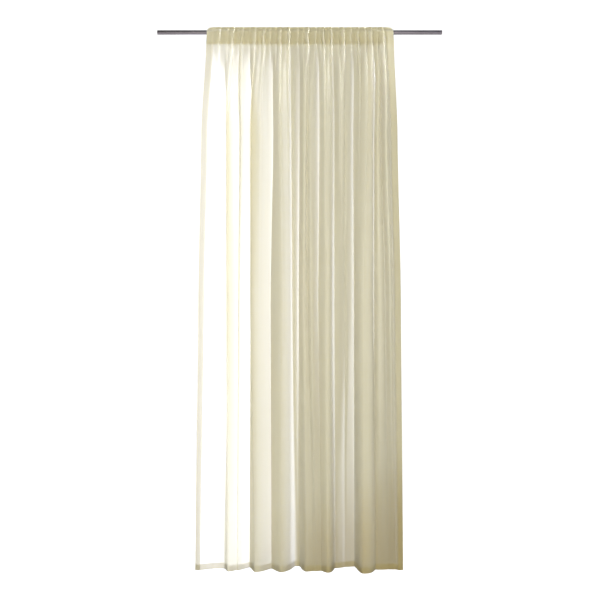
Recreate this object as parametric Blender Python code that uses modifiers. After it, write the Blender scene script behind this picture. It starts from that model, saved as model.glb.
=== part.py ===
"""A sheer curtain panel gathered on a plain round rod.

The panel hangs by a rod pocket: a heading strip sewn on its back, along two
seams, makes the tunnel that the rod runs through. Metres, +Z up. The origin is
on the rod's axis, midway along it. +X runs along the rod, and +Y points to the
wall.
"""
import math

import bmesh
import bpy

# Sizes of the real thing, in millimetres
ROD_LENGTH = 1286.0
ROD_RADIUS = 10.0
ROD_SIDES = 40

FLAT_WIDTH = 1400.0        # the panel laid flat, side hem to side hem
CLOTH = 1.0                # thickness of the panel's solid
STRIP = 1.0                # thickness of the heading strip's solid
GATHERS = 29               # gathers along the heading
COLUMNS_A_GATHER = 4       # columns of the mesh for each of them
SIDE_HEM = 27.0            # width of the flat hem down each side edge
HEM_PLACE = 0.5            # where a side hem's inner edge lies, counted in gathers

# The heading from its top edge down to its lower seam, one row for each level.
# touch: half the gap between the middles of panel and strip, where they are closest
# open:  0 where the two are sewn and ripple together, 1 where the rod parts them
# ripple: half the depth of the gathers
# droop: how far the rounded corners at both ends hang below the rest
HEADING = (
    # z, touch, open, ripple, droop
    (24.4, 1.5, 0.0, 9.0, 10.4),
    (14.2, 1.5, 0.0, 3.0, 3.0),
    (9.4, 7.9, 1.0, 4.0, 0.0),
    (0.0, 12.3, 1.0, 8.8, 0.0),
    (-8.0, 9.6, 1.0, 9.4, 0.0),
    (-28.0, 4.0, 0.6, 9.6, 0.0),
    (-53.0, 1.5, 0.0, 9.6, 0.0),
)
SEAM = HEADING[-1][0]

# Levels of the panel's mesh below the seam, down to its hem
LEVELS = (-80.0, -130.0, -210.0, -320.0, -450.0, -650.0,
          -900.0, -1200.0, -1550.0, -1900.0, -2200.0, -2425.0)

CORNER_REACH = 26.0        # how far in along the rod the heading's rounded corners reach

# Side edges of the hanging panel: left and right x at each height
EDGES = (
    # z, left, right
    (24.4, -416.0, 420.0),
    (0.0, -418.0, 422.0),
    (-53.0, -423.0, 427.0),
    (-450.0, -445.0, 442.0),
    (-1210.0, -458.0, 457.0),
    (-2425.0, -471.0, 466.0),
)

# The creases of the panel, left to right: each line down the cloth where it turns
# back towards the wall (a ridge) or towards the room (a hollow). gather is the place
# along the heading, counted in gathers. x is the place from the middle and y the
# depth, negative towards the room, at each of the three heights in CREASE_HEIGHTS.
# A ridge that lies left of the hollow before it is a fold laid over itself.
CREASE_HEIGHTS = (-450.0, -1210.0, -2425.0)
CREASES = (
    # gather, x upper, middle, foot, y upper, middle, foot
    (1.25, -376.0, -388.0, -396.0, 8.0, 8.0, 5.0),
    (2.5, -320.0, -322.0, -366.0, 20.0, 24.0, 8.0),
    (3.5, -332.0, -327.0, -312.0, -18.0, -24.0, -36.0),
    (4.75, -275.0, -280.0, -284.0, 12.0, 4.0, -16.0),
    (5.25, -262.0, -271.0, -275.0, -6.0, -5.0, -18.0),
    (6.5, -198.0, -222.0, -232.0, 18.0, 26.0, 24.0),
    (7.5, -222.0, -204.0, -198.0, -16.0, -20.0, -40.0),
    (10.25, -120.0, -132.0, -128.0, 16.0, 16.0, 8.0),
    (11.25, -92.0, -82.0, -81.0, -16.0, -24.0, -44.0),
    (13.0, -38.0, -34.0, -22.0, 12.0, 16.0, 38.0),
    (13.5, -30.0, -22.0, -10.0, 4.0, 10.0, 42.0),
    (14.5, 0.0, -4.0, 2.0, 15.0, 20.0, 32.0),
    (15.25, 22.0, 17.0, 24.0, -12.0, -8.0, -32.0),
    (15.75, 33.0, 35.0, 60.0, 8.0, 8.0, -28.0),
    (16.25, 44.0, 51.0, 72.0, -14.0, -14.0, -30.0),
    (17.5, 90.0, 84.0, 97.0, 15.0, 14.0, -24.0),
    (18.5, 116.0, 121.0, 129.0, -16.0, -22.0, -50.0),
    (19.5, 144.0, 147.0, 157.0, 15.0, 18.0, 10.0),
    (20.75, 186.0, 192.0, 184.0, -12.0, 6.0, 18.0),
    (21.5, 204.0, 204.0, 204.0, 8.0, 10.0, 28.0),
    (21.75, 214.0, 214.0, 216.0, -4.0, 4.0, 30.0),
    (23.0, 243.0, 247.0, 249.0, 17.0, 22.0, 36.0),
    (25.0, 300.0, 284.0, 282.0, -16.0, -26.0, -62.0),
    (26.25, 333.0, 331.0, 338.0, 18.0, 20.0, -8.0),
    (26.75, 351.0, 356.0, 362.0, -12.0, -10.0, -10.0),
    (27.25, 368.0, 386.0, 400.0, 12.0, 10.0, -4.0),
    (27.75, 388.0, 408.0, 422.0, -12.0, -6.0, -6.0),
    (28.25, 408.0, 424.0, 436.0, 6.0, 2.0, -6.0),
)
EDGE_DEPTHS = (-6.0, -8.0, -14.0)   # y of both side edges at the three heights

# Below the seam the heading's gathers fade, and the creases grow first deep, then wide
GATHER_FADE = 260.0
CREASE_DEEPENING = 200.0
CREASE_SPREADING = 420.0


def smooth_step(t):
    """Rises from 0 to 1 with level ends."""
    t = min(max(t, 0.0), 1.0)
    return t * t * (3.0 - 2.0 * t)


def read_off(heights, values, z):
    """The value at height z on a smooth line through values at falling heights."""
    if z >= heights[0]:
        return values[0]
    for k in range(len(heights) - 1):
        if z >= heights[k + 1]:
            return values[k] + (values[k + 1] - values[k]) * smooth_blend(
                (heights[k] - z) / (heights[k] - heights[k + 1]))
    return values[-1]


def smooth_blend(t):
    """Half straight and half eased, so lines down the cloth bend without corners."""
    return 0.5 * t + 0.5 * smooth_step(t)


def unevenness(place):
    """How deep the gather nearest to a place is, 1 on average, uneven from one to the next."""
    gather = math.floor(place + 0.5)
    return 1.0 + 0.22 * math.sin(2.4 * gather + 0.7) + 0.12 * math.sin(5.3 * gather + 2.0)


def hermite(values, places, place):
    """Smooth curve through values at rising places, read at place."""
    last = len(places) - 1
    k = max(i for i in range(last) if places[i] <= place or i == 0)
    slopes = []
    for i in (k, k + 1):
        a, b = max(i - 1, 0), min(i + 1, last)
        slopes.append((values[b] - values[a]) / (places[b] - places[a]))
    span = places[k + 1] - places[k]
    t = (place - places[k]) / span
    t2, t3 = t * t, t * t * t
    return ((2.0 * t3 - 3.0 * t2 + 1.0) * values[k] + (t3 - 2.0 * t2 + t) * span * slopes[0]
            + (3.0 * t2 - 2.0 * t3) * values[k + 1] + (t3 - t2) * span * slopes[1])


def crease_points(z):
    """Places, x and y of the side edges and all creases at height z."""
    heights = [row[0] for row in EDGES]
    left = read_off(heights, [row[1] for row in EDGES], z)
    right = read_off(heights, [row[2] for row in EDGES], z)
    edge_y = read_off(CREASE_HEIGHTS, EDGE_DEPTHS, z)
    places = [0.0, HEM_PLACE]
    xs = [left, left + SIDE_HEM]
    deepened = smooth_step((SEAM - z) / CREASE_DEEPENING)
    spread = smooth_step((SEAM - z) / CREASE_SPREADING)
    ys = [edge_y * deepened] * 2
    inner_width = right - left - 2.0 * SIDE_HEM
    for gather, *values in CREASES:
        gathered_x = left + SIDE_HEM + inner_width * (gather - HEM_PLACE) / (GATHERS - 2.0 * HEM_PLACE)
        x = read_off(CREASE_HEIGHTS, values[:3], z)
        y = read_off(CREASE_HEIGHTS, values[3:], z)
        places.append(gather)
        xs.append(gathered_x + (x - gathered_x) * spread)
        ys.append(y * deepened)
    places += [GATHERS - HEM_PLACE, float(GATHERS)]
    xs += [right - SIDE_HEM, right]
    ys += [edge_y * deepened] * 2
    return places, xs, ys


def gather_wave(place):
    """-1 at a gather's ridge and 1 at its hollow, and still on the side hems."""
    from_edge = min(place, GATHERS - place) - HEM_PLACE / 2.0
    return -math.cos(2.0 * math.pi * place) * smooth_step(from_edge / (2.0 * HEM_PLACE))


def panel_curve(z, places, depth):
    """x and y of the panel below its seam at height z, at the given places along it."""
    knots, xs, ys = crease_points(z)
    fading = math.exp((z - SEAM) / GATHER_FADE)
    sewn, ripple = HEADING[-1][1] * fading, HEADING[-1][3] * fading
    points = []
    for place in places:
        y = depth * hermite(ys, knots, place) - sewn
        gather = ripple * unevenness(place) * gather_wave(place)
        points.append((hermite(xs, knots, place), y + gather))
    return points


def curve_length(points):
    """Length of a line through points."""
    return sum(math.dist(a, b) for a, b in zip(points, points[1:]))


def fold_depth(z, places):
    """How much deeper the creases at height z are than their row says.

    The cloth doesn't stretch, so its folds are just deep enough to take up its flat width.
    """
    shallow, deep = 0.5, 1.8
    for _ in range(16):
        middle = 0.5 * (shallow + deep)
        if curve_length(panel_curve(z, places, middle)) < FLAT_WIDTH:
            shallow = middle
        else:
            deep = middle
    return middle


def column_places():
    """Places of the mesh's columns along the panel, counted in gathers."""
    count = GATHERS * COLUMNS_A_GATHER
    return [k / COLUMNS_A_GATHER for k in range(count + 1)]


def corner_droop(x, droop):
    """How far the heading's rounded corner lowers the cloth at x."""
    outward = 1.0 - min(x - EDGES[0][1], EDGES[0][2] - x) / CORNER_REACH
    outward = min(max(outward, 0.0), 1.0)
    return droop * (1.0 - math.sqrt(1.0 - outward * outward))


def heading_line(row, side, places):
    """A level of the heading: side is -1 on the panel, 1 on the strip behind the rod."""
    z, touch, parted, ripple, droop = row
    knots, xs, _ = crease_points(z)
    line = []
    for place in places:
        x = hermite(xs, knots, place)
        depth = ripple * unevenness(place)
        y = side * (touch + depth * parted) + depth * gather_wave(place)
        line.append((x, y, z - corner_droop(x, droop)))
    return line


def panel_line(z, places):
    """A level of the panel below its seam."""
    return [(x, y, z) for x, y in panel_curve(z, places, fold_depth(z, places))]


def grid_sheet(name, lines):
    """An open sheet from a grid whose vertices lie on the given lines, top to bottom."""
    across, down = len(lines[0]) - 1, len(lines) - 1
    mesh = bpy.data.meshes.new(name)
    grid = bmesh.new()
    bmesh.ops.create_grid(grid, x_segments=across, y_segments=down, size=0.5)
    for vertex in grid.verts:
        line = lines[round((0.5 - vertex.co.y) * down)]
        vertex.co = [value / 1000.0 for value in line[round((vertex.co.x + 0.5) * across)]]
    grid.to_mesh(mesh)
    grid.free()
    mesh.shade_smooth()
    return bpy.data.objects.new(name, mesh)


def thicken(sheet, thickness):
    """Gives an open sheet its thickness, half to each side."""
    shell = sheet.modifiers.new("Thickness", "SOLIDIFY")
    shell.thickness = thickness / 1000.0
    shell.offset = 0.0
    shell.use_even_offset = True


def material(name, colour, roughness, metallic=0.0):
    """A plain Principled material."""
    made = bpy.data.materials.new(name)
    made.use_nodes = True
    shader = made.node_tree.nodes["Principled BSDF"]
    shader.inputs["Base Color"].default_value = (*colour, 1.0)
    shader.inputs["Roughness"].default_value = roughness
    shader.inputs["Metallic"].default_value = metallic
    return made


def make_rod():
    """The round rod, lying along X, with flat cut ends."""
    bpy.ops.mesh.primitive_cylinder_add(
        vertices=ROD_SIDES, radius=ROD_RADIUS / 1000.0, depth=ROD_LENGTH / 1000.0,
        rotation=(0.0, math.pi / 2.0, 0.0))
    rod = bpy.context.object
    rod.name = "rod"
    rod.data.name = "rod"
    rod.data.shade_smooth()
    rod.data.set_sharp_from_angle(angle=math.radians(40.0))
    rod.data.materials.append(material("painted_steel", (0.14, 0.12, 0.14), 0.4, 0.8))
    return rod


def make_panel():
    """The sheer panel from the heading's top edge down to the hem, hems included."""
    places = column_places()
    lines = [heading_line(row, -1.0, places) for row in HEADING]
    lines += [panel_line(z, places) for z in LEVELS]
    panel = grid_sheet("panel", lines)
    thicken(panel, CLOTH)
    panel.data.materials.append(material("sheer_voile", (0.80, 0.76, 0.60), 0.9))
    return panel


def make_heading_strip():
    """The strip sewn to the panel's back, which closes the tunnel behind the rod."""
    places = column_places()
    strip = grid_sheet("heading_strip", [heading_line(row, 1.0, places) for row in HEADING])
    thicken(strip, STRIP)
    strip.data.materials.append(material("heading_cloth", (0.74, 0.70, 0.52), 0.9))
    return strip


def main():
    for old in list(bpy.data.objects):
        bpy.data.objects.remove(old)
    collection = bpy.data.collections.new("curtain_on_a_rod")
    bpy.context.scene.collection.children.link(collection)
    for made in (make_rod(), make_panel(), make_heading_strip()):
        for holder in list(made.users_collection):
            holder.objects.unlink(made)
        collection.objects.link(made)


main()
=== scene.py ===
import math

import bmesh
import bpy
import numpy as np
from mathutils import Matrix


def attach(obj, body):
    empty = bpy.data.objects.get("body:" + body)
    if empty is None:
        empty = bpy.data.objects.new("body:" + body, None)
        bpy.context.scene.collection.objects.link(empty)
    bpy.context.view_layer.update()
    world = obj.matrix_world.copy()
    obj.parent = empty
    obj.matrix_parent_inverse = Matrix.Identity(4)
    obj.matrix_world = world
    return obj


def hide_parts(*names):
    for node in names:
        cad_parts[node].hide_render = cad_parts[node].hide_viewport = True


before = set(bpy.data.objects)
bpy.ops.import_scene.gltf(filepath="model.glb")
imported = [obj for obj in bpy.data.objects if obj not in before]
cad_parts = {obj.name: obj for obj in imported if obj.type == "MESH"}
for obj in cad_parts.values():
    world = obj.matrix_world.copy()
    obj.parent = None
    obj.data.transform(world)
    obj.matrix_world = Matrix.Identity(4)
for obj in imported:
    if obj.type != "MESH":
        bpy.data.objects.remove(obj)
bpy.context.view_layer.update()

# Sizes and places are in millimetres until they're drawn, in metres
MM = 1000.0

# Sizes of the real thing
FLAT_WIDTH = 1400.0        # the sewn panel laid flat, side edge to side edge
DROP = 2450.0              # the sewn panel laid flat, top edge to hem
GATHERS = 29               # gathers along the heading; places on the cloth are counted in them
HEM_PLACE = 0.65           # where a side hem's inner edge lies, counted in gathers
FOOT_HEM = 27.0            # height of the bottom hem
LAYER = 0.4                # from the middle of one layer of a hem to the next
FOOT_LAYER = 3.0 * LAYER   # how far behind the front the turned-up bottom hem lies

ROD_LENGTH, ROD_RADIUS, ROD_BEVEL = 1286.0, 10.0, 0.8

# Seams: a straight lock stitch
STITCH_PITCH, STITCH_LENGTH, THREAD_RADIUS = 3.0, 2.4, 0.14
STITCH_SEED = 7
SEAM_INSET = 2.0           # from a hem's inner edge to its seam
SEAM_LIFT = 0.2            # of the thread off the middle of the cloth

PASSED_SHARE = 0.6         # of the light that meets a thread of the voile and goes through

# Fineness of the meshes
ROD_SIDES = 96
COLUMNS_A_GATHER = 24
CLOSE_ROWS, CLOSE_ROWS_TO = 12.0, -330.0   # spacing of the rows below the seam, and down to where
ROW_SPACING = 24.0         # of the panel's rows further down
HEM_COLUMNS = 8
HEM_ROWS = 4
UNROLLED_AT = -300.0       # height at which the cloth's threads are spaced evenly
DEPTH_RANGE, DEPTH_HALVINGS = (0.3, 1.8), 14   # where and how finely the folds' depth is sought
CLOTH_SHARP, ROD_SHARP = 80.0, 50.0            # degrees; edges that turn more are drawn sharp

# The heading from its top edge down to its lower seam, one row for each level.
# touch: half the gap between the middles of panel and strip, where they are closest
# open:  0 where the two are sewn and ripple together, 1 where the rod parts them
# ripple: half the depth of a middling gather
# droop: how far the rounded corners at both ends hang below the rest
HEADING = (
    # z, touch, open, ripple, droop
    (24.4, 0.5, 0.0, 3.4, 10.4),
    (19.0, 0.8, 0.0, 3.0, 6.7),
    (14.2, 0.5, 0.0, 2.8, 3.0),
    (12.0, 2.6, 0.5, 3.0, 1.2),
    (9.4, 6.0, 0.9, 3.6, 0.0),
    (5.0, 10.6, 1.0, 5.0, 0.0),
    (0.0, 12.0, 1.0, 6.0, 0.0),
    (-5.0, 11.0, 1.0, 6.6, 0.0),
    (-12.0, 8.2, 0.95, 7.2, 0.0),
    (-20.0, 5.4, 0.8, 7.8, 0.0),
    (-28.0, 4.0, 0.6, 8.4, 0.0),
    (-38.0, 2.6, 0.3, 9.0, 0.0),
    (-46.0, 1.4, 0.1, 9.4, 0.0),
    (-53.0, 0.5, 0.0, 9.6, 0.0),
)
FRILL_SEAM_ROW, SEAM_ROW = HEADING[2], HEADING[-1]
TOP = HEADING[0][0]
SEAM, SEAM_TOUCH = SEAM_ROW[:2]
SEAM_RIPPLE = SEAM_ROW[3]
FOOT = TOP - DROP

CORNER_REACH = 26.0        # how far in along the rod the heading's rounded corners reach

# The small gathers of the heading, listed one by one: each rises gently from the left to its
# ridge, then drops steeply into the hollow right of it. strength is 1 for a middling one,
# reach is how far below the seam it has faded to a third, and swing is how far its line
# bends sideways in the pocket.
GATHER_RIDGES = (
    # x, strength, reach, swing
    (-400.0, 0.4, 60.0, 0.0), (-366.0, 0.6, 80.0, 0.0), (-330.0, 0.5, 120.0, 0.0),
    (-304.0, 1.1, 420.0, 1.0), (-280.0, 0.3, 60.0, 0.0), (-262.0, 0.6, 200.0, 0.0),
    (-232.0, 0.3, 60.0, 0.0), (-204.0, 1.2, 600.0, -2.0), (-180.0, 0.4, 60.0, 0.0),
    (-162.0, 1.0, 250.0, 2.5), (-136.0, 0.5, 90.0, 0.0), (-111.0, 0.5, 160.0, 0.0),
    (-88.0, 1.1, 500.0, 3.0), (-66.0, 0.4, 60.0, 0.0), (-49.0, 1.3, 800.0, -3.5),
    (-10.0, 0.4, 60.0, 0.0), (14.0, 0.5, 120.0, 0.0), (38.0, 1.2, 700.0, 3.5),
    (72.0, 0.7, 140.0, 0.0), (92.0, 0.4, 60.0, 0.0), (109.0, 1.1, 420.0, 3.0),
    (130.0, 0.3, 60.0, 0.0), (144.0, 1.4, 1800.0, -2.0), (176.0, 0.6, 90.0, 0.0),
    (200.0, 1.4, 500.0, -1.0), (232.0, 0.7, 130.0, 0.0), (252.0, 0.4, 60.0, 0.0),
    (267.0, 1.0, 300.0, 4.0), (299.0, 1.1, 300.0, -2.5), (326.0, 1.4, 1600.0, 1.5),
    (352.0, 0.6, 90.0, 0.0), (379.0, 1.3, 700.0, -2.5), (402.0, 0.5, 120.0, 0.0),
)
HOLLOW_SPACING = 26.0      # ridges closer together than this have shallower hollows between them
HOLLOW_DEPTH = 0.3         # of a hollow beside a ridge of hardly any strength
HOLLOW_GROWTH = 0.6        # of the hollow's depth with the ridge's strength
HOLLOW_CRISP = 0.7
FLANK = 6.5                # from a ridge to its hollow, along the rod
SWING_WAVE = 17.0          # how far down the cloth for each radian of the lines' sideways wave
SWING_CENTRE, SWING_REACH = -20.0, 60.0   # the height where they swing most, and the swing's reach

# How steeply the cloth enters a crisp crease and how steeply it leaves it again, seen
# from the left, against an even slope
PLUNGE, REBOUND = 2.8, 1.1

# Side edges of the hanging panel: left and right x, and how wide its hems look
EDGES = (
    # z, left, right, hem
    (24.4, -416.0, 420.0, 31.0),
    (0.0, -418.0, 422.0, 31.0),
    (-53.0, -423.0, 427.0, 31.0),
    (-450.0, -445.0, 442.0, 29.0),
    (-1210.0, -458.0, 457.0, 26.5),
    (-2425.0, -471.0, 466.0, 22.5),
)
TOP_LEFT, TOP_RIGHT = EDGES[0][1:3]
SEAM_LEFT, SEAM_RIGHT, SEAM_HEM = EDGES[2][1:]
INNER_GATHERS = GATHERS - 2.0 * HEM_PLACE   # between the side hems
A_GATHER = (SEAM_RIGHT - SEAM_LEFT - 2.0 * SEAM_HEM) / INNER_GATHERS

# The creases of the panel, left to right: each line down the cloth where it turns
# back towards the wall (a ridge) or towards the room (a hollow). gather is the place
# along the heading, counted in gathers. x is the place from the middle and y the
# depth, negative towards the room, at each of the three heights in CREASE_HEIGHTS.
# A ridge that lies left of the hollow before it is a fold laid over itself. crisp is
# 0 for a soft turn and 1 for a sharp one.
CREASE_HEIGHTS = (-450.0, -1210.0, -2425.0)
CREASES = (
    # gather, x upper, middle, foot, y upper, middle, foot, crisp
    (1.25, -376.0, -388.0, -396.0, 8.0, 8.0, 5.0, 0.0),
    (2.5, -320.0, -322.0, -342.0, 20.0, 24.0, 6.0, 0.4),
    (3.5, -332.0, -329.0, -322.0, -18.0, -24.0, -34.0, 0.0),
    (4.75, -275.0, -280.0, -284.0, 12.0, 4.0, -16.0, 0.3),
    (5.25, -262.0, -271.0, -275.0, -6.0, -5.0, -18.0, 0.0),
    (6.5, -204.0, -224.0, -228.0, 18.0, 26.0, 24.0, 0.5),
    (7.5, -222.0, -220.0, -200.0, -16.0, -20.0, -40.0, 0.0),
    (10.25, -120.0, -132.0, -128.0, 16.0, 16.0, 8.0, 0.7),
    (11.25, -92.0, -82.0, -81.0, -16.0, -24.0, -44.0, 0.0),
    (13.0, -38.0, -34.0, -22.0, 12.0, 16.0, 38.0, 0.5),
    (13.5, -30.0, -22.0, -10.0, 4.0, 10.0, 42.0, 0.0),
    (14.5, 0.0, -4.0, 2.0, 15.0, 20.0, 32.0, 0.6),
    (15.25, 22.0, 17.0, 24.0, -12.0, -8.0, -32.0, 0.0),
    (15.75, 33.0, 35.0, 60.0, 8.0, 8.0, -28.0, 0.5),
    (16.25, 44.0, 51.0, 72.0, -14.0, -14.0, -30.0, 0.0),
    (17.5, 90.0, 84.0, 97.0, 15.0, 14.0, -24.0, 0.6),
    (18.5, 116.0, 121.0, 129.0, -16.0, -22.0, -50.0, 0.0),
    (19.5, 150.0, 150.0, 157.0, 15.0, 18.0, 10.0, 0.9),
    (20.75, 186.0, 192.0, 184.0, -12.0, 6.0, 18.0, 0.0),
    (21.5, 204.0, 204.0, 204.0, 8.0, 10.0, 28.0, 0.6),
    (21.75, 214.0, 214.0, 216.0, -4.0, 4.0, 30.0, 0.0),
    (23.0, 243.0, 247.0, 249.0, 17.0, 22.0, 36.0, 0.8),
    (25.0, 300.0, 284.0, 282.0, -16.0, -26.0, -62.0, 0.0),
    (26.25, 338.0, 337.0, 342.0, 18.0, 20.0, -8.0, 1.0),
    (26.75, 351.0, 356.0, 362.0, -12.0, -10.0, -10.0, 0.0),
    (27.25, 368.0, 386.0, 400.0, 12.0, 10.0, -4.0, 0.6),
    (27.75, 388.0, 408.0, 422.0, -12.0, -6.0, -6.0, 0.0),
    (28.25, 408.0, 424.0, 436.0, 6.0, 2.0, -6.0, 0.3),
)
EDGE_DEPTHS = (-6.0, -8.0, -14.0)   # y of both side edges at the three heights

# Below the seam the creases grow first deep, then wide
CREASE_DEEPENING = 200.0
CREASE_SPREADING = 420.0

# Where the photograph was taken from: level, straight in front, at half the cloth's height
CAMERA_DISTANCE = 4100.0
CAMERA_X = 1.6
CAMERA_Z = -1209.0
FRAME_WIDTH = 2712.0       # width of the photograph's frame, measured at the rod
SENSOR = 36.0

# The stage, in metres apart from the floor's height
FLOOR_Z = -2600.0
FLOOR_SIZE, WALL_SIZE = (30.0, 30.0), (14.0, 14.0)
STAGE_GLOW = 1.0
WALLS = (
    # name, x, y, turn about the vertical in degrees
    ("backdrop", 0.0, 7.0, 0.0), ("left_wall", -7.0, 0.0, 90.0),
    ("right_wall", 7.0, 0.0, 90.0), ("room_wall", 0.0, -7.0, 0.0),
)
WORLD_STRENGTH = 0.04
# At the lower right a board behind shades the daylight, and a film in front warms the rest.
# size and place in metres, turn in degrees
FLAG = (2.1, 1.2), (1.04, 0.45, -2.24), (90.0, -17.0, 0.0)
FRONT_GEL = (1.8, 1.4), (1.04, -0.45, -2.42), (90.0, -27.0, 0.0)
CLEAR_BOUNCES = 24         # how many layers of sheer cloth a straight ray may pass
LIGHTS = (
    # name, place, target, size, watts, colour, spread
    ("window", (-0.42, 0.18, -1.34), (-0.42, 0.0, -1.34), (0.34, 2.46), 6.6, "E8ECFF", 180.0),
    ("low_sun", (-3.0, 0.45, -1.1), (0.0, 0.0, -1.1), (0.5, 2.4), 88.0, "E4EAFF", 180.0),
    ("low_sky", (3.0, -0.45, -0.9), (0.0, 0.0, -0.9), (0.5, 2.4), 30.0, "ECF0FF", 180.0),
    ("glow", (0.0, 2.2, -0.5), (0.0, 0.0, -1.1), (3.0, 2.0), 16.0, "F4F6FF", 180.0),
    ("room", (0.0, -3.4, -1.3), (0.0, 0.0, -1.3), (2.8, 2.4), 130.0, "FFFDF2", 180.0),
    ("skylight", (0.0, -1.9, 1.7), (0.0, 0.0, -0.6), (2.4, 1.2), 30.0, "F4F8FF", 180.0),
    ("heading_rim", (2.6, -0.38, 0.02), (0.0, 0.0, -0.03), (0.3, 0.12), 1.7, "D8E0FF", 20.0),
)


def smooth_step(t):
    """Rises from 0 to 1 with level ends."""
    t = np.clip(t, 0.0, 1.0)
    return t * t * (3.0 - 2.0 * t)


def read_off(heights, values, z):
    """The value at height z on a smooth line through values at falling heights."""
    if z >= heights[0]:
        return values[0]
    for k in range(len(heights) - 1):
        if z >= heights[k + 1]:
            t = (heights[k] - z) / (heights[k] - heights[k + 1])
            return values[k] + (values[k + 1] - values[k]) * 0.5 * (t + smooth_step(t))
    return values[-1]


def soft_slopes(values, knots):
    """Slopes of a smooth curve through values at rising knots."""
    slopes = np.empty(len(knots))
    slopes[1:-1] = (values[2:] - values[:-2]) / (knots[2:] - knots[:-2])
    slopes[0] = (values[1] - values[0]) / (knots[1] - knots[0])
    slopes[-1] = (values[-1] - values[-2]) / (knots[-1] - knots[-2])
    return slopes


def hermite(values, knots, crisp, places):
    """Curve through values at rising knots, read at places.

    Where crisp is 0 it turns softly. Towards 1 it plunges into the knot and leaves it with
    a corner, as pinched cloth does.
    """
    values, knots, crisp = np.asarray(values), np.asarray(knots), np.asarray(crisp)
    rises = np.diff(values) / np.diff(knots)
    entering = soft_slopes(values, knots) * (1.0 - crisp)
    leaving = entering.copy()
    entering[1:] += crisp[1:] * PLUNGE * rises
    leaving[:-1] += crisp[:-1] * REBOUND * rises
    k = np.clip(np.searchsorted(knots, places, side="right") - 1, 0, len(knots) - 2)
    span = knots[k + 1] - knots[k]
    t = (places - knots[k]) / span
    t2, t3 = t * t, t * t * t
    return ((2.0 * t3 - 3.0 * t2 + 1.0) * values[k] + (t3 - 2.0 * t2 + t) * span * leaving[k]
            + (3.0 * t2 - 2.0 * t3) * values[k + 1] + (t3 - t2) * span * entering[k + 1])


def crease_points(z):
    """Places, x, y and crispness of the side edges and all creases at height z."""
    heights = [row[0] for row in EDGES]
    left = read_off(heights, [row[1] for row in EDGES], z)
    right = read_off(heights, [row[2] for row in EDGES], z)
    hem = read_off(heights, [row[3] for row in EDGES], z)
    edge_y = read_off(CREASE_HEIGHTS, EDGE_DEPTHS, z)
    deepened = smooth_step((SEAM - z) / CREASE_DEEPENING)
    spread = smooth_step((SEAM - z) / CREASE_SPREADING)
    inner_width = right - left - 2.0 * hem
    knots, xs = [0.0, HEM_PLACE], [left, left + hem]
    ys, crisp = [edge_y * deepened] * 2, [0.0, 0.0]
    for gather, *values, crispness in CREASES:
        gathered_x = left + hem + inner_width * (gather - HEM_PLACE) / INNER_GATHERS
        x = read_off(CREASE_HEIGHTS, values[:3], z)
        y = read_off(CREASE_HEIGHTS, values[3:], z)
        knots.append(gather)
        xs.append(gathered_x + (x - gathered_x) * spread)
        ys.append(y * deepened)
        crisp.append(crispness)
    knots += [GATHERS - HEM_PLACE, float(GATHERS)]
    xs += [right - hem, right]
    ys += [edge_y * deepened] * 2
    crisp += [0.0, 0.0]
    return knots, xs, ys, crisp


def place_of(x):
    """The place on the cloth that lies at x along the seam."""
    return HEM_PLACE + (x - SEAM_LEFT - SEAM_HEM) / A_GATHER


def gather_knots():
    """Places, heights and crispness of the gathers' ridges and of the hollow right of each."""
    places = [place_of(x) for x, *_ in GATHER_RIDGES]
    knots, waves, crisp = [0.0], [0.0], [0.0]
    for k, (x, strength, *_) in enumerate(GATHER_RIDGES):
        room = GATHER_RIDGES[k + 1][0] - x if k + 1 < len(GATHER_RIDGES) else HOLLOW_SPACING
        flank = min(FLANK, 0.5 * room)
        knots += [places[k], places[k] + flank / A_GATHER]
        depth = min(1.0, HOLLOW_DEPTH + HOLLOW_GROWTH * strength)
        waves += [-strength, min(1.0, room / HOLLOW_SPACING) * depth]
        crisp += [0.0, HOLLOW_CRISP]
    return places, knots + [float(GATHERS)], waves + [0.0], crisp + [0.0]


def gather_wave(places):
    """-1 at a middling gather's ridge and 1 at its hollow, and still on the side hems."""
    _, knots, waves, crisp = gather_knots()
    from_edge = np.minimum(places, GATHERS - places) - 0.5 * HEM_PLACE
    return hermite(waves, knots, crisp, places) * smooth_step(from_edge / HEM_PLACE)


def gather_fading(places, z):
    """How much of a gather is left at height z below the seam. Some run further down."""
    reaches = [reach for _, _, reach, _ in GATHER_RIDGES]
    return np.exp((z - SEAM) / np.interp(places, gather_knots()[0], reaches))


def gather_swing(places, z):
    """How far the gathers' lines bend sideways at height z."""
    swings = np.interp(places, gather_knots()[0], [swing for *_, swing in GATHER_RIDGES])
    fading = math.exp(-((z - SWING_CENTRE) / SWING_REACH) ** 2)
    return swings * math.sin(z / SWING_WAVE) * fading


def panel_curve(z, places, depth):
    """x and y of the panel below its seam at height z, at the given places along it."""
    knots, xs, ys, crisp = crease_points(z)
    fading = gather_fading(places, z)
    x = hermite(xs, knots, np.zeros(len(knots)), places) + gather_swing(places, z)
    y = depth * hermite(ys, knots, crisp, places) - SEAM_TOUCH * fading
    y = y + SEAM_RIPPLE * fading * gather_wave(places)
    return x, y


def fold_depth(z, places):
    """How much deeper the creases at height z are than their row says.

    The cloth doesn't stretch, so its folds are just deep enough to take up its flat width.
    """
    shallow, deep = DEPTH_RANGE
    for _ in range(DEPTH_HALVINGS):
        middle = 0.5 * (shallow + deep)
        x, y = panel_curve(z, places, middle)
        if np.hypot(np.diff(x), np.diff(y)).sum() < FLAT_WIDTH:
            shallow = middle
        else:
            deep = middle
    return middle


def corner_droop(x, droop):
    """How far the heading's rounded corner lowers the cloth at x."""
    outward = 1.0 - np.minimum(x - TOP_LEFT, TOP_RIGHT - x) / CORNER_REACH
    outward = np.clip(outward, 0.0, 1.0)
    return droop * (1.0 - np.sqrt(1.0 - outward * outward))


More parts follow.
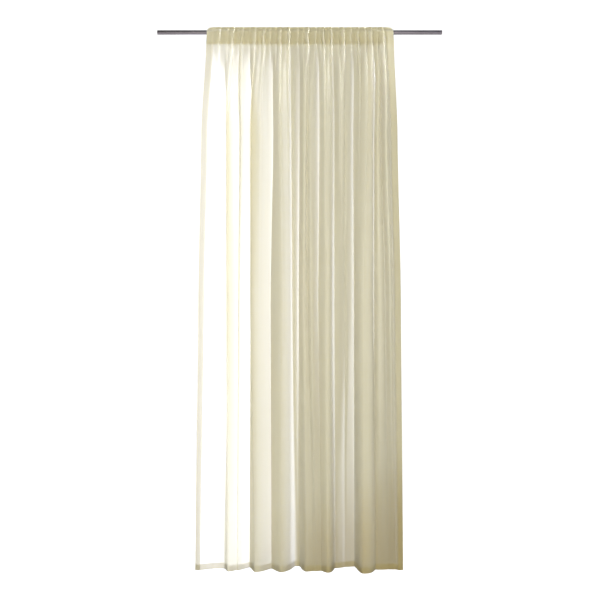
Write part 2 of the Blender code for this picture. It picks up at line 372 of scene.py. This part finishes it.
def heading_curve(row, side, places):
    """A level of the heading: side is -1 on the panel, 1 on the strip behind the rod."""
    z, touch, parted, ripple, droop = row
    knots, xs, _, _ = crease_points(z)
    x = hermite(xs, knots, np.zeros(len(knots)), places) + gather_swing(places, z)
    y = side * (touch + ripple * parted) + ripple * gather_wave(places)
    return x, y, z - corner_droop(x, droop)


def columns():
    """Places of the mesh's columns along the panel."""
    return np.linspace(0.0, GATHERS, GATHERS * COLUMNS_A_GATHER + 1)


def plan_normals(x, y):
    """Unit normals of a level, pointing to the wall."""
    dx, dy = np.gradient(x), np.gradient(y)
    length = np.maximum(np.hypot(dx, dy), 1e-9)
    return -dy / length, dx / length


def linear(code):
    """The linear colour of an sRGB hex code."""
    values = [int(code[k:k + 2], 16) / 255.0 for k in (0, 2, 4)]
    return [v / 12.92 if v <= 0.04045 else ((v + 0.055) / 1.055) ** 2.4 for v in values] + [1.0]


def add_node(tree, kind, links=(), **settings):
    """Adds a node to a tree with its settings, input values by name or number, and its links."""
    node = tree.nodes.new(kind)
    inputs = settings.pop("inputs", {})
    for key, value in settings.items():
        setattr(node, key, value)
    for key, value in inputs.items():
        node.inputs[key].default_value = value
    for key, source in links:
        tree.links.new(source, node.inputs[key])
    return node


def new_material(name):
    """An empty material and its node tree."""
    material = bpy.data.materials.new(name)
    material.use_nodes = True
    material.node_tree.nodes.clear()
    return material, material.node_tree


def blend(tree, factor, first, second):
    """A colour between two sRGB hex codes."""
    mix = add_node(tree, "ShaderNodeMix", [("Factor", factor)], data_type="RGBA")
    mix.inputs["A"].default_value = linear(first)
    mix.inputs["B"].default_value = linear(second)
    return mix.outputs["Result"]


def polyester_voile(name, bounced, passed):
    """Sheer polyester voile in ecru: a plain weave of fine, slightly slubby threads.

    Light passes through it more easily than it bounces off. bounced and passed are the
    colours of either, between the slubs and on them.
    """
    material, tree = new_material(name)
    place = add_node(tree, "ShaderNodeUVMap", uv_map="cloth")
    # Threads are 0.25 mm apart, too fine to show: the streaks are drawn 2 to 6 mm wide
    down = add_node(tree, "ShaderNodeMapping", [("Vector", place.outputs["UV"])],
                    inputs={"Scale": (260.0, 3.0, 1.0)})
    across = add_node(tree, "ShaderNodeMapping", [("Vector", place.outputs["UV"])],
                      inputs={"Scale": (4.0, 380.0, 1.0)})
    warp = add_node(tree, "ShaderNodeTexNoise", [("Vector", down.outputs[0])],
                    inputs={"Scale": 1.0, "Detail": 2.0, "Roughness": 0.6})
    weft = add_node(tree, "ShaderNodeTexNoise", [("Vector", across.outputs[0])],
                    inputs={"Scale": 1.0, "Detail": 2.0, "Roughness": 0.6})
    slubs = add_node(tree, "ShaderNodeMath", [(0, warp.outputs[0]), (1, weft.outputs[0])],
                     operation="ADD")
    usual = {"From Min": 0.7, "From Max": 1.3}
    cover = add_node(tree, "ShaderNodeMapRange", [("Value", slubs.outputs[0])],
                     inputs={**usual, "To Min": 0.94, "To Max": 0.985})
    shade = add_node(tree, "ShaderNodeMapRange", [("Value", slubs.outputs[0])],
                     inputs={**usual, "To Min": 0.0, "To Max": 1.0})
    bump = add_node(tree, "ShaderNodeBump", [("Height", slubs.outputs[0])],
                    inputs={"Strength": 0.12, "Distance": 0.0006})
    front = add_node(tree, "ShaderNodeBsdfPrincipled",
                     [("Base Color", blend(tree, shade.outputs[0], *bounced)),
                      ("Normal", bump.outputs[0])],
                     inputs={"Roughness": 0.8, "Specular IOR Level": 0.25, "Sheen Weight": 0.15})
    through = add_node(tree, "ShaderNodeBsdfTranslucent",
                       [("Color", blend(tree, shade.outputs[0], *passed)),
                        ("Normal", bump.outputs[0])])
    threads = add_node(tree, "ShaderNodeMixShader",
                       [(1, front.outputs[0]), (2, through.outputs[0])],
                       inputs={0: PASSED_SHARE})
    gaps = add_node(tree, "ShaderNodeBsdfTransparent")
    cloth = add_node(tree, "ShaderNodeMixShader",
                     [(0, cover.outputs[0]), (1, gaps.outputs[0]), (2, threads.outputs[0])])
    add_node(tree, "ShaderNodeOutputMaterial", [("Surface", cloth.outputs[0])])
    return material


def sewing_thread():
    """Spun polyester thread, a shade darker than the cloth it sews."""
    material, tree = new_material("sewing_thread")
    place = add_node(tree, "ShaderNodeTexCoord")
    fuzz = add_node(tree, "ShaderNodeTexNoise", [("Vector", place.outputs["Object"])],
                    inputs={"Scale": 900.0, "Detail": 1.0})
    thread = add_node(tree, "ShaderNodeBsdfPrincipled",
                      [("Base Color", blend(tree, fuzz.outputs[0], "DCD2B0", "EBE3C8"))],
                      inputs={"Roughness": 0.6})
    add_node(tree, "ShaderNodeOutputMaterial", [("Surface", thread.outputs[0])])
    return material


def lacquered_steel():
    """A drawn steel tube with a satin anthracite lacquer, faintly streaked along its length."""
    material, tree = new_material("lacquered_steel")
    place = add_node(tree, "ShaderNodeTexCoord")
    stretch = add_node(tree, "ShaderNodeMapping", [("Vector", place.outputs["Object"])],
                       inputs={"Scale": (6.0, 900.0, 900.0)})
    streaks = add_node(tree, "ShaderNodeTexNoise", [("Vector", stretch.outputs[0])],
                       inputs={"Scale": 1.0, "Detail": 3.0})
    rough = add_node(tree, "ShaderNodeMapRange", [("Value", streaks.outputs[0])],
                     inputs={"To Min": 0.28, "To Max": 0.42})
    bump = add_node(tree, "ShaderNodeBump", [("Height", streaks.outputs[0])],
                    inputs={"Strength": 0.1, "Distance": 0.0002})
    steel = add_node(tree, "ShaderNodeBsdfPrincipled",
                     [("Base Color", blend(tree, streaks.outputs[0], "5A5458", "686266")),
                      ("Roughness", rough.outputs[0]), ("Normal", bump.outputs[0])],
                     inputs={"Metallic": 0.7, "Coat Weight": 0.3, "Coat Roughness": 0.25})
    add_node(tree, "ShaderNodeOutputMaterial", [("Surface", steel.outputs[0])])
    return material


def cloth_mesh(name, points, widths, heights, material, under=None):
    """A sheet from a grid of points, with a UV map in metres of flat cloth named cloth.

    under is the material of what is turned under in the hems, if it has any: a copy of the
    cloth painted greyer and darker, as painted shade.
    """
    rows, across = points.shape[:2]
    corner = (np.arange(rows - 1)[:, None] * across + np.arange(across - 1)).ravel()
    faces = np.stack([corner, corner + across, corner + across + 1, corner + 1], axis=1)
    mesh = bpy.data.meshes.new(name)
    mesh.from_pydata((points.reshape(-1, 3) / MM).tolist(), [], faces.tolist())
    flat = np.stack(np.broadcast_arrays(widths, heights[:, None]), axis=2).reshape(-1, 2) / MM
    loops = np.empty(len(mesh.loops), dtype=np.int32)
    mesh.loops.foreach_get("vertex_index", loops)
    uv_map = mesh.uv_layers.new(name="cloth")
    uv_map.data.foreach_set("uv", flat[loops].astype(np.float32).ravel())
    mesh.materials.append(material)
    if under is not None:
        mesh.materials.append(under)
        column, row = corner % across, corner // across
        sides = (column < HEM_COLUMNS) | (column >= across - 1 - HEM_COLUMNS)
        # The hems' turned-under faces take the second material, the copy with painted shade
        turned = sides | (row >= rows - HEM_ROWS)
        mesh.polygons.foreach_set("material_index", turned.astype(np.int32))
    mesh.shade_smooth()
    mesh.set_sharp_from_angle(angle=math.radians(CLOTH_SHARP))
    sheet = bpy.data.objects.new(name, mesh)
    bpy.context.scene.collection.objects.link(sheet)
    return sheet


def hem_columns():
    """Places, and how far behind the front they lie, along the cut width of the panel."""
    back = np.linspace(HEM_PLACE, 0.0, HEM_COLUMNS + 1)[:-1]
    front = columns()
    places = np.concatenate([back, front, GATHERS - back[::-1]])
    layer = np.full(HEM_COLUMNS, LAYER)
    behind = np.concatenate([layer, np.zeros(len(front)), layer])
    x, y = panel_curve(UNROLLED_AT, places, fold_depth(UNROLLED_AT, front))
    return places, behind, np.concatenate([[0.0], np.cumsum(np.hypot(np.diff(x), np.diff(y)))])


def make_panel(material, under):
    """The sheer panel with its side hems and bottom hem, as one cut of cloth.

    under is the material of what is turned under in the hems, painted greyer and darker
    than the cloth as painted shade.
    """
    places, behind, cut = hem_columns()
    front = places[HEM_COLUMNS:-HEM_COLUMNS]
    close = np.arange(SEAM, CLOSE_ROWS_TO, -CLOSE_ROWS)
    free = np.linspace(close[-1], FOOT, round((close[-1] - FOOT) / ROW_SPACING) + 1)
    hanging = np.concatenate([close[1:-1], free])
    turned_up = np.linspace(FOOT, FOOT + FOOT_HEM, HEM_ROWS)
    lines = [heading_line(row, places, front, behind) for row in HEADING]
    lines += [panel_line(z, places, front, behind) for z in hanging]
    lines += [panel_line(z, places, front, FOOT_LAYER - behind) for z in turned_up]
    points = np.array(lines)
    steps = np.linalg.norm(np.diff(points, axis=0), axis=2).mean(axis=1)
    flat_z = -np.concatenate([[0.0], np.cumsum(steps)])
    return cloth_mesh("voile_panel", points, cut, flat_z, material, under)


def layered(x, y, z, places, front, normals, behind):
    """The line x, y, z moved towards the wall, in a hem, to where its layer lies."""
    nx, ny = (np.interp(places, front, normal) for normal in normals)
    return np.stack([x + nx * behind, y + ny * behind, z], axis=1)


def heading_line(row, places, front, behind):
    """The panel's line at a level of its heading, with the back layers of its side hems."""
    x, y, z = heading_curve(row, -1.0, places)
    normals = plan_normals(*heading_curve(row, -1.0, front)[:2])
    return layered(x, y, z, places, front, normals, behind)


def panel_line(z, places, front, behind):
    """The panel's line at height z, with the back layers of its side hems."""
    depth = fold_depth(z, front)
    x, y = panel_curve(z, places, depth)
    normals = plan_normals(*panel_curve(z, front, depth))
    return layered(x, y, np.full(len(places), z), places, front, normals, behind)


def make_heading_strip(material):
    """The strip behind the rod, sewn to the panel above and below it."""
    places = columns()
    points = np.array([np.stack(heading_curve(row, 1.0, places), axis=1) for row in HEADING])
    widths = places * FLAT_WIDTH / GATHERS
    heights = np.array([row[0] for row in HEADING])
    return cloth_mesh("voile_heading_strip", points, widths, heights, material)


def seam_lines():
    """Where the panel is sewn: the heading's two seams, the bottom hem and both side hems."""
    front = columns()
    lines = [heading_line(row, front, front, -SEAM_LIFT) for row in (FRILL_SEAM_ROW, SEAM_ROW)]
    lines.append(panel_line(FOOT + FOOT_HEM - SEAM_INSET, front, front, -SEAM_LIFT))
    inset = HEM_PLACE - SEAM_INSET * GATHERS / FLAT_WIDTH
    sides = np.array([inset, GATHERS - inset])
    rows = [heading_line(row, sides, front, -SEAM_LIFT) for row in HEADING]
    for z in np.arange(SEAM - ROW_SPACING, FOOT, -ROW_SPACING):
        rows.append(panel_line(z, sides, front, -SEAM_LIFT))
    down = np.array(rows)
    return lines + [down[:, 0], down[:, 1]]


def stitch_tree(material):
    """Geometry Nodes that lay a short straight thread at every pitch along a line."""
    tree = bpy.data.node_groups.new("stitches_on_seam", "GeometryNodeTree")
    add_socket = tree.interface.new_socket
    add_socket("Seam", in_out="INPUT", socket_type="NodeSocketGeometry")
    for name in ("Pitch", "Stitch Length", "Thread Radius"):
        add_socket(name, in_out="INPUT", socket_type="NodeSocketFloat")
    add_socket("Seed", in_out="INPUT", socket_type="NodeSocketInt")
    add_socket("Stitches", in_out="OUTPUT", socket_type="NodeSocketGeometry")
    given = add_node(tree, "NodeGroupInput").outputs
    line = add_node(tree, "GeometryNodeMeshToCurve", [("Mesh", given["Seam"])])
    marks = add_node(tree, "GeometryNodeCurveToPoints",
                     [("Curve", line.outputs[0]), ("Length", given["Pitch"])], mode="LENGTH")
    thread = add_node(tree, "GeometryNodeMeshCylinder",
                      [("Radius", given["Thread Radius"]), ("Depth", given["Stitch Length"])],
                      inputs={"Vertices": 5})
    # No two stitches are pulled equally tight
    pull = add_node(tree, "FunctionNodeRandomValue", [("Seed", given["Seed"])],
                    inputs={"Min": (0.9, 0.9, 0.88), "Max": (1.1, 1.1, 1.06)},
                    data_type="FLOAT_VECTOR")
    laid = add_node(tree, "GeometryNodeInstanceOnPoints",
                    [("Points", marks.outputs["Points"]), ("Instance", thread.outputs["Mesh"]),
                     ("Rotation", marks.outputs["Rotation"]), ("Scale", pull.outputs["Value"])])
    real = add_node(tree, "GeometryNodeRealizeInstances", [("Geometry", laid.outputs[0])])
    dressed = add_node(tree, "GeometryNodeSetMaterial", [("Geometry", real.outputs[0])],
                       inputs={"Material": material})
    add_node(tree, "NodeGroupOutput", [("Stitches", dressed.outputs[0])])
    return tree


def make_stitches(material):
    """The visible stitches of every seam, as one mesh."""
    points, edges = [], []
    for line in seam_lines():
        edges += [(len(points) + k, len(points) + k + 1) for k in range(len(line) - 1)]
        points += (line / MM).tolist()
    mesh = bpy.data.meshes.new("seam_lines")
    mesh.from_pydata(points, edges, [])
    guide = bpy.data.objects.new("seam_lines", mesh)
    bpy.context.scene.collection.objects.link(guide)
    tree = stitch_tree(material)
    modifier = guide.modifiers.new("stitches", "NODES")
    modifier.node_group = tree
    sizes = {"Pitch": STITCH_PITCH / MM, "Stitch Length": STITCH_LENGTH / MM,
             "Thread Radius": THREAD_RADIUS / MM, "Seed": STITCH_SEED}
    for socket in tree.interface.items_tree:
        if socket.name in sizes:
            modifier[socket.identifier] = sizes[socket.name]
    depsgraph = bpy.context.evaluated_depsgraph_get()
    sewn = bpy.data.meshes.new_from_object(guide.evaluated_get(depsgraph))
    sewn.name = "seam_stitches"
    stitches = bpy.data.objects.new("seam_stitches", sewn)
    bpy.context.scene.collection.objects.link(stitches)
    bpy.data.objects.remove(guide)
    return stitches


def make_rod(material):
    """A round rod with a fine bevel around each of its flat ends.

    In the photograph it neither shades the sheer cloth nor darkens it from within.
    """
    mesh = bpy.data.meshes.new("steel_rod")
    body = bmesh.new()
    bmesh.ops.create_cone(body, cap_ends=True, segments=ROD_SIDES, radius1=ROD_RADIUS / MM,
                          radius2=ROD_RADIUS / MM, depth=ROD_LENGTH / MM)
    rims = [edge for edge in body.edges if any(len(face.verts) > 4 for face in edge.link_faces)]
    bmesh.ops.bevel(body, geom=rims, offset=ROD_BEVEL / MM, segments=3, profile=0.5,
                    affect="EDGES")
    bmesh.ops.rotate(body, verts=body.verts, matrix=Matrix.Rotation(math.pi / 2.0, 3, "Y"))
    body.to_mesh(mesh)
    body.free()
    mesh.materials.append(material)
    mesh.shade_smooth()
    mesh.set_sharp_from_angle(angle=math.radians(ROD_SHARP))
    rod = bpy.data.objects.new("steel_rod", mesh)
    bpy.context.scene.collection.objects.link(rod)
    rod.visible_shadow = rod.visible_diffuse = rod.visible_transmission = False
    return rod


def make_camera():
    """The photograph's camera."""
    camera = bpy.data.cameras.new("camera")
    camera.sensor_width = SENSOR
    camera.lens = SENSOR * CAMERA_DISTANCE / FRAME_WIDTH
    stand = bpy.data.objects.new("camera", camera)
    stand.location = (CAMERA_X / MM, -CAMERA_DISTANCE / MM, CAMERA_Z / MM)
    stand.rotation_euler = (math.pi / 2.0, 0.0, 0.0)
    bpy.context.scene.collection.objects.link(stand)
    bpy.context.scene.camera = stand


def area_light(name, place, target, size, power, colour, spread):
    """A rectangular light at place, turned to its target, both in metres. spread is in degrees."""
    light = bpy.data.lights.new(name, "AREA")
    light.shape = "RECTANGLE"
    light.size, light.size_y = size
    light.energy = power
    light.spread = math.radians(spread)
    light.color = linear(colour)[:3]
    lamp = bpy.data.objects.new(name, light)
    lamp.location = place
    direction = [t - p for p, t in zip(place, target)]
    lamp.rotation_euler = (
        math.atan2(math.hypot(direction[0], direction[1]), -direction[2]),
        0.0,
        math.atan2(-direction[0], direction[1]))
    bpy.context.scene.collection.objects.link(lamp)


def pale_paint(name, glow):
    """Matt pale paint that glows by itself, so that the stage looks white in any light."""
    material, tree = new_material(name)
    paint = add_node(tree, "ShaderNodeBsdfDiffuse", inputs={"Color": linear("F4F4F2")})
    lit = add_node(tree, "ShaderNodeEmission", inputs={"Strength": glow})
    both = add_node(tree, "ShaderNodeAddShader", [(0, paint.outputs[0]), (1, lit.outputs[0])])
    add_node(tree, "ShaderNodeOutputMaterial", [("Surface", both.outputs[0])])
    return material


def filter_film(name, colour):
    """Clear tinted film, as is hung before a lamp."""
    material, tree = new_material(name)
    film = add_node(tree, "ShaderNodeBsdfTransparent", inputs={"Color": linear(colour)})
    add_node(tree, "ShaderNodeOutputMaterial", [("Surface", film.outputs[0])])
    return material


def stage_plane(material, size, place, turn, seen=True, mirrored=True):
    """A plane of the stage, named as its material, that throws no light on the cloth.

    size and place are in metres, turn in degrees. It needn't be seen by the camera, or
    mirrored in the rod.
    """
    mesh = bpy.data.meshes.new(material.name)
    plane = bmesh.new()
    bmesh.ops.create_grid(plane, x_segments=1, y_segments=1, size=0.5)
    for vertex in plane.verts:
        vertex.co.x *= size[0]
        vertex.co.y *= size[1]
    plane.to_mesh(mesh)
    plane.free()
    mesh.materials.append(material)
    surface = bpy.data.objects.new(material.name, mesh)
    surface.location = place
    surface.rotation_euler = [math.radians(angle) for angle in turn]
    surface.visible_diffuse = surface.visible_transmission = False
    surface.visible_camera = seen
    surface.visible_glossy = mirrored
    bpy.context.scene.collection.objects.link(surface)


def make_world():
    """A faint even light from all round."""
    world = bpy.data.worlds.new("studio")
    bpy.context.scene.world = world
    world.use_nodes = True
    ground = world.node_tree.nodes["Background"]
    ground.inputs["Color"].default_value = linear("FFFFFF")
    ground.inputs["Strength"].default_value = WORLD_STRENGTH


def make_stage():
    """Floor, walls, world and lights: daylight from behind on the left, a bright room in front."""
    stage_plane(pale_paint("floor", STAGE_GLOW), FLOOR_SIZE, (0.0, 0.0, FLOOR_Z / MM),
                (0.0, 0.0, 0.0))
    for name, x, y, turn in WALLS:
        stage_plane(pale_paint(name, STAGE_GLOW), WALL_SIZE, (x, y, 0.0), (90.0, 0.0, turn),
                    mirrored=name == "backdrop")
    make_world()
    for light in LIGHTS:
        area_light(*light)
    stage_plane(pale_paint("flag", 0.0), *FLAG, seen=False, mirrored=False)
    stage_plane(filter_film("front_gel", "D8C890"), *FRONT_GEL, seen=False, mirrored=False)
    scene = bpy.context.scene
    scene.view_settings.view_transform = "Standard"
    scene.cycles.transparent_max_bounces = CLEAR_BOUNCES


def main():
    make_camera()
    voile = polyester_voile("polyester_voile", ("F4EBC6", "EEE4BA"), ("FCFBF4", "F8F6EA"))
    # The pocket is two layers. The strip behind the rod is painted a tone deeper: painted shade
    # that stands for the rod's shadow in the pocket, which the rod doesn't cast.
    pocket_voile_painted_shade = polyester_voile("polyester_voile_strip_painted_shade",
                                  ("C4B886", "BAAE7A"), ("C6BFA2", "BEB698"))
    # In the hems the light comes through two layers too. Their turned-under layer is painted
    # greyer and darker: painted shade for the light those two layers hold back.
    hem_voile_painted_shade = polyester_voile("polyester_voile_turned_painted_shade",
                                   ("DED8BC", "D6D0B2"), ("D4D4DA", "CCCCD2"))
    panel = make_panel(voile, hem_voile_painted_shade)
    strip = make_heading_strip(pocket_voile_painted_shade)
    stitches = make_stitches(sewing_thread())
    rod = make_rod(lacquered_steel())
    for piece in (panel, strip, stitches, rod):
        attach(piece, "root")
    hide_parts("rod")
    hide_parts("panel")
    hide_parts("heading_strip")
    make_stage()


main()
